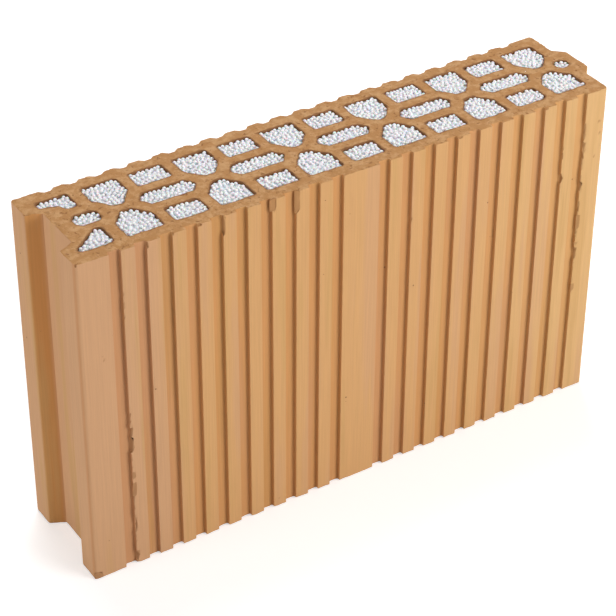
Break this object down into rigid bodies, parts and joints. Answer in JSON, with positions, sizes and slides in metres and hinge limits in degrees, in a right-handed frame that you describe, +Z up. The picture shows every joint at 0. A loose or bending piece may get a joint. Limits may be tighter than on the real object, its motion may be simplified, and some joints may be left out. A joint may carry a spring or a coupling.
{
  "type": "insulated ring beam block",
  "caption": "Extruded fired-clay facing block for a ring beam, with ribbed faces, a tongue end, a recessed end and upright cells filled with bead insulation.",
  "frame": {"origin": "middle of the bounding box in plan, on the bottom bed", "axes": "X along the block from the recessed end to the tongue end, Y through the block from the ribbed face in the picture to the far face, Z up along the cells"},
  "size_m": [0.3818, 0.08, 0.23],
  "materials": {
    "fired_clay": "matt fired clay, smooth extruded faces and rough cut beds",
    "bead_fill": "white expanded polystyrene beads"
  },
  "bodies": {
    "root": {"clay_block": "fired_clay", "bead_fill_front_01": "bead_fill", "bead_fill_front_02": "bead_fill", "bead_fill_front_03": "bead_fill", "bead_fill_front_04": "bead_fill", "bead_fill_front_05": "bead_fill", "bead_fill_front_06": "bead_fill", "bead_fill_front_07": "bead_fill", "bead_fill_front_08": "bead_fill", "bead_fill_front_09": "bead_fill", "bead_fill_front_10": "bead_fill", "bead_fill_front_11": "bead_fill", "bead_fill_front_12": "bead_fill", "bead_fill_middle_01": "bead_fill", "bead_fill_middle_02": "bead_fill", "bead_fill_middle_03": "bead_fill", "bead_fill_middle_04": "bead_fill", "bead_fill_middle_05": "bead_fill", "bead_fill_middle_06": "bead_fill", "bead_fill_middle_07": "bead_fill", "bead_fill_back_01": "bead_fill", "bead_fill_back_02": "bead_fill", "bead_fill_back_03": "bead_fill", "bead_fill_back_04": "bead_fill", "bead_fill_back_05": "bead_fill", "bead_fill_back_06": "bead_fill", "bead_fill_back_07": "bead_fill", "bead_fill_back_08": "bead_fill", "bead_fill_back_09": "bead_fill", "bead_fill_back_10": "bead_fill", "bead_fill_back_11": "bead_fill", "bead_fill_back_12": "bead_fill"}
  },
  "joints": []
}
